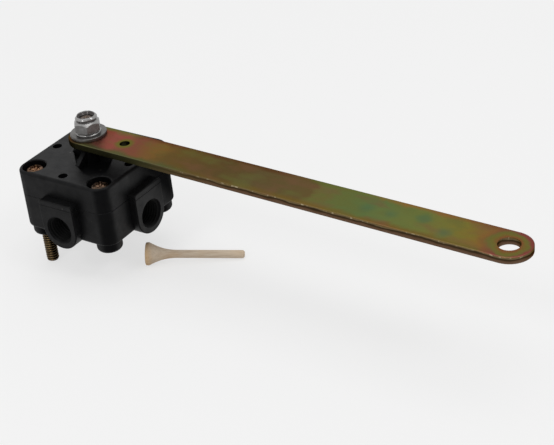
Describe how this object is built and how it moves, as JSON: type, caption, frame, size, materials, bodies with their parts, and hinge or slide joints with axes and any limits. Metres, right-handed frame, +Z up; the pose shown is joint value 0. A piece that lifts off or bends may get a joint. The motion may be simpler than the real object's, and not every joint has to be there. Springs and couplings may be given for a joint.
{
  "type": "height control valve",
  "caption": "Air suspension height control valve: square moulded body on two studs, two threaded ports, long plated lever clamped on a vertical shaft, loose locating pin.",
  "frame": {"origin": "on the control shaft's axis, in the plane of the four corner bosses' end faces, which seat on the bracket", "axes": "+Z up along the control shaft, from the studs towards the lever; +X along the neutral lever, towards its linkage hole, and out of the supply port; -Y out of the delivery port"},
  "size_m": [0.2466, 0.0562, 0.0717],
  "materials": {
    "moulded_nylon": "black glass-filled nylon, semi-gloss as moulded",
    "seal_rubber": "nitrile rubber",
    "yellow_zinc_screws": "yellow zinc-chromated screws",
    "yellow_zinc_steel": "yellow zinc-chromated flat bar, iridescent",
    "clear_zinc_steel": "clear zinc plate",
    "brass": "turned brass",
    "bronze": "sintered bronze",
    "ground_steel": "ground steel",
    "spring_steel": "stainless steel, drawn and perforated",
    "acetal": "natural acetal",
    "valve_ceramic": "lapped alumina",
    "turned_wood": "plain turned hardwood"
  },
  "bodies": {
    "housing": {"base": "moulded_nylon", "cover": "moulded_nylon", "housing_seal": "seal_rubber", "shaft_o_ring": "seal_rubber", "dust_wiper": "seal_rubber", "plate_gasket": "seal_rubber", "exhaust_umbrella": "seal_rubber", "mounting_stud_screws": "yellow_zinc_screws", "cover_screws": "yellow_zinc_screws", "threaded_inserts": "brass", "check_seat": "brass", "shaft_bush": "bronze", "plate_dowels": "ground_steel", "inlet_screen": "spring_steel", "check_guide": "acetal", "exhaust_vent_disc": "acetal", "port_plate": "valve_ceramic"},
    "lever_and_shaft": {"control_shaft": "ground_steel", "thrust_washer": "acetal", "rotor_spring": "spring_steel", "rotor_driver": "acetal", "rotor_disc": "valve_ceramic", "lever": "yellow_zinc_steel", "lever_washer": "clear_zinc_steel", "lock_nut": "clear_zinc_steel"},
    "check_poppet": {"check_poppet": "acetal"},
    "locating_pin": {"locating_pin": "turned_wood"}
  },
  "joints": [
    {"name": "lever_swing", "type": "hinge", "parent": "housing", "child": "lever_and_shaft", "pos_m": [0, 0, 0], "axis": [0, 0, 1], "range_deg": [-43.35, 46.65]},
    {"name": "check_poppet_lift", "type": "slide", "parent": "housing", "child": "check_poppet", "axis": [-1, 0, 0], "range_m": [0, 0.0016]},
    {"name": "locating_pin_draw", "type": "slide", "parent": "housing", "child": "locating_pin", "axis": [0.8572, 0.515, 0], "range_m": [0, 0.04]}
  ]
}
